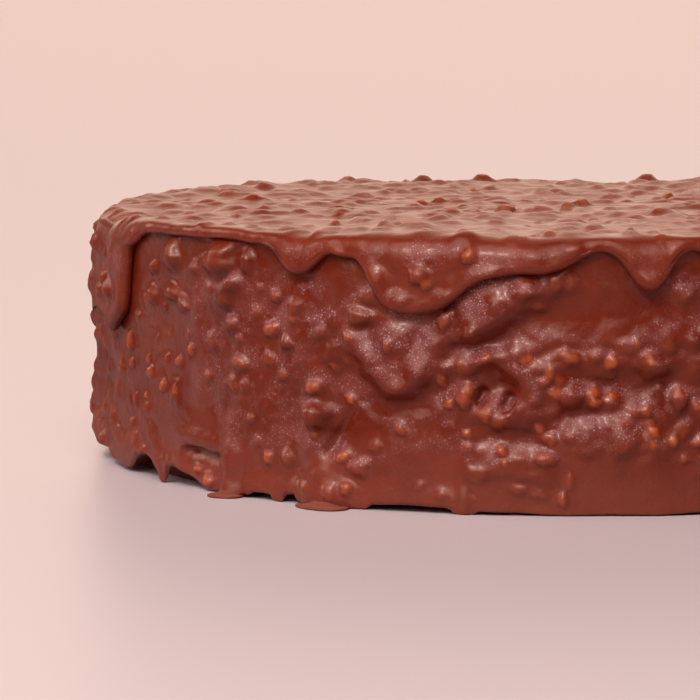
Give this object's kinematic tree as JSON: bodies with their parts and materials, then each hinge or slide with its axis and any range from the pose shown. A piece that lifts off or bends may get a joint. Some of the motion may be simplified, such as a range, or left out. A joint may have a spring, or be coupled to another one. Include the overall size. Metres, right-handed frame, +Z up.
{
  "type": "chocolate nut coated cake",
  "caption": "Whole round cake in milk chocolate with chopped nuts, a second coat poured over the top and running down in tongues.",
  "frame": {"origin": "centre of the base, on the surface the cake stands on", "axes": "+Z up, -Y towards the pictured front, +X to the viewer's right"},
  "size_m": [0.2111, 0.2104, 0.0568],
  "materials": {
    "nut_chocolate": "set milk chocolate with chopped nuts under it, half gloss, stands in for food",
    "poured_chocolate": "set milk chocolate, smooth and half gloss with fine dew, stands in for food"
  },
  "bodies": {
    "root": {"coated_cake": "nut_chocolate", "poured_coat": "poured_chocolate"}
  },
  "joints": []
}
